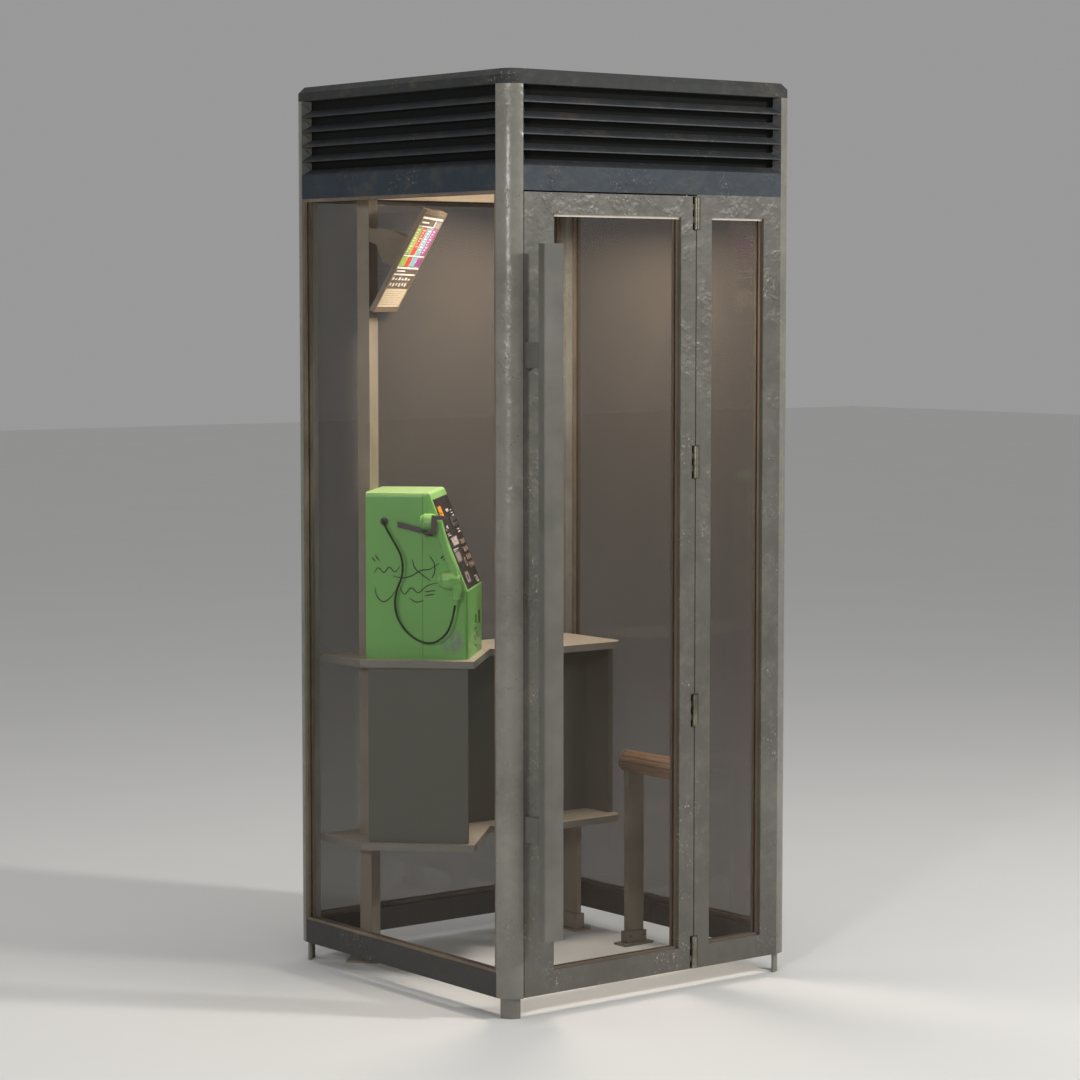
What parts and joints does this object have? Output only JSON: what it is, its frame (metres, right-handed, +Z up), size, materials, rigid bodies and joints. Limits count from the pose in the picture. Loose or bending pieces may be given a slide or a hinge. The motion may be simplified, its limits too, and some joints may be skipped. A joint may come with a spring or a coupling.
{
  "type": "telephone booth",
  "caption": "Square glazed telephone booth with a hinged door, louvred roof, corner payphone on a shelf, perch rail and sign.",
  "frame": {"origin": "centre of the booth's bounding box in plan, at the ground", "axes": "+Z up; the door is on the -Y side; +X to the right of someone facing the door"},
  "size_m": [0.9, 0.976, 2.233],
  "materials": {
    "frame_paint": "satin paint, pitted",
    "header_paint": "satin paint, dark blue grey",
    "louvre_paint": "satin paint, dark",
    "roof_paint": "satin paint, pale grey green",
    "ceiling_paint": "satin paint, warm",
    "lamp_tray": "white enamel",
    "lamp_tube": "white fluorescent tube",
    "opal_diffuser": "opal",
    "clear_glass": "clear, slightly tinted",
    "gasket": "matt",
    "leaf_paint": "satin paint, pitted",
    "hinge_steel": "dull",
    "bar_paint": "smooth satin paint",
    "shelf_laminate": "laminate on board, satin",
    "cabinet_board": "dark laminate, satin",
    "column_paint": "satin paint, tan",
    "perch_wood": "varnished strips",
    "perch_metal": "satin paint",
    "sign_tray": "satin paint, brown grey",
    "sign_print": "printed sheet with plain colour blocks",
    "phone_green": "satin, mid green",
    "phone_plate": "dark, printed with plain blocks",
    "display_window": "pale grey window",
    "key_caps": "pale grey keys",
    "hook_chrome": "worn dull metal",
    "handset_green": "satin, mid green",
    "grommet_rubber": "matt",
    "cord_armour": "dark armoured cord"
  },
  "bodies": {
    "booth": {"back_column": "column_paint", "base_rails": "frame_paint", "cabinet_back": "cabinet_board", "cabinet_side_left": "cabinet_board", "cabinet_side_right": "cabinet_board", "card_slot": "hook_chrome", "ceiling_panel": "ceiling_paint", "cord_grommet": "grommet_rubber", "corner_posts": "frame_paint", "display_window": "display_window", "feet": "frame_paint", "handset_cord": "cord_armour", "header_rails": "header_paint", "hinge_fixed_knuckles": "hinge_steel", "hinge_pins": "hinge_steel", "hook_pivot": "hook_chrome", "lamp_diffuser": "opal_diffuser", "lamp_housing": "lamp_tray", "lamp_tubes": "lamp_tube", "louvre_sills": "louvre_paint", "louvre_slats": "louvre_paint", "perch_posts": "perch_metal", "perch_rail": "perch_wood", "phone_faceplate": "phone_plate", "phone_front_case": "phone_green", "phone_rear_case": "phone_green", "roof_cap": "roof_paint", "shelf_bottom": "shelf_laminate", "shelf_leg": "column_paint", "shelf_top": "shelf_laminate", "side_panel_beads": "gasket", "side_panel_frame": "leaf_paint", "side_panel_glass": "clear_glass", "sign_bracket": "sign_tray", "sign_face": "sign_print", "sign_frame": "sign_tray", "wall_beads": "gasket", "wall_glass": "clear_glass"},
    "door": {"door_frame": "leaf_paint", "door_glass": "clear_glass", "door_beads": "gasket", "hinge_door_knuckles": "hinge_steel", "pull_bar": "bar_paint", "pull_bar_arms": "bar_paint"},
    "handset": {"handset_body": "handset_green", "handset_caps": "handset_green"},
    "hook": {"hook_lever": "hook_chrome"},
    "coin_flap": {"return_flap": "hook_chrome"},
    "key_01_cap": {"key_01": "key_caps"},
    "key_02_cap": {"key_02": "key_caps"},
    "key_03_cap": {"key_03": "key_caps"},
    "key_04_cap": {"key_04": "key_caps"},
    "key_05_cap": {"key_05": "key_caps"},
    "key_06_cap": {"key_06": "key_caps"},
    "key_07_cap": {"key_07": "key_caps"},
    "key_08_cap": {"key_08": "key_caps"},
    "key_09_cap": {"key_09": "key_caps"},
    "key_10_cap": {"key_10": "key_caps"},
    "key_11_cap": {"key_11": "key_caps"},
    "key_12_cap": {"key_12": "key_caps"}
  },
  "joints": [
    {"name": "door_swing", "type": "hinge", "parent": "booth", "child": "door", "pos_m": [0.1275, -0.413, 1], "axis": [0, 0, 1], "range_deg": [0, 100]},
    {"name": "handset_lift", "type": "slide", "parent": "booth", "child": "handset", "axis": [0, 0, 1], "range_m": [0, 0.02]},
    {"name": "hook_switch", "type": "hinge", "parent": "booth", "child": "hook", "pos_m": [-0.31077, 0.21654, 1.135], "axis": [-0.7071, -0.7071, 0], "range_deg": [0, 8]},
    {"name": "coin_flap_swing", "type": "hinge", "parent": "booth", "child": "coin_flap", "pos_m": [-0.04349, 0.24271, 0.8985], "axis": [0.7071, 0.7071, 0], "range_deg": [0, 50]},
    {"name": "key_01_press", "type": "slide", "parent": "booth", "child": "key_01_cap", "axis": [-0.6579, 0.6579, -0.3666], "range_m": [0, 0.002], "stiffness_N_per_m": 500},
    {"name": "key_02_press", "type": "slide", "parent": "booth", "child": "key_02_cap", "axis": [-0.6579, 0.6579, -0.3666], "range_m": [0, 0.002], "stiffness_N_per_m": 500},
    {"name": "key_03_press", "type": "slide", "parent": "booth", "child": "key_03_cap", "axis": [-0.6579, 0.6579, -0.3666], "range_m": [0, 0.002], "stiffness_N_per_m": 500},
    {"name": "key_04_press", "type": "slide", "parent": "booth", "child": "key_04_cap", "axis": [-0.6579, 0.6579, -0.3666], "range_m": [0, 0.002], "stiffness_N_per_m": 500},
    {"name": "key_05_press", "type": "slide", "parent": "booth", "child": "key_05_cap", "axis": [-0.6579, 0.6579, -0.3666], "range_m": [0, 0.002], "stiffness_N_per_m": 500},
    {"name": "key_06_press", "type": "slide", "parent": "booth", "child": "key_06_cap", "axis": [-0.6579, 0.6579, -0.3666], "range_m": [0, 0.002], "stiffness_N_per_m": 500},
    {"name": "key_07_press", "type": "slide", "parent": "booth", "child": "key_07_cap", "axis": [-0.6579, 0.6579, -0.3666], "range_m": [0, 0.002], "stiffness_N_per_m": 500},
    {"name": "key_08_press", "type": "slide", "parent": "booth", "child": "key_08_cap", "axis": [-0.6579, 0.6579, -0.3666], "range_m": [0, 0.002], "stiffness_N_per_m": 500},
    {"name": "key_09_press", "type": "slide", "parent": "booth", "child": "key_09_cap", "axis": [-0.6579, 0.6579, -0.3666], "range_m": [0, 0.002], "stiffness_N_per_m": 500},
    {"name": "key_10_press", "type": "slide", "parent": "booth", "child": "key_10_cap", "axis": [-0.6579, 0.6579, -0.3666], "range_m": [0, 0.002], "stiffness_N_per_m": 500},
    {"name": "key_11_press", "type": "slide", "parent": "booth", "child": "key_11_cap", "axis": [-0.6579, 0.6579, -0.3666], "range_m": [0, 0.002], "stiffness_N_per_m": 500},
    {"name": "key_12_press", "type": "slide", "parent": "booth", "child": "key_12_cap", "axis": [-0.6579, 0.6579, -0.3666], "range_m": [0, 0.002], "stiffness_N_per_m": 500}
  ],
  "couplings": [
    {"joint": "hook_switch", "follows": "handset_lift", "rad_per_m": 6.9}
  ]
}
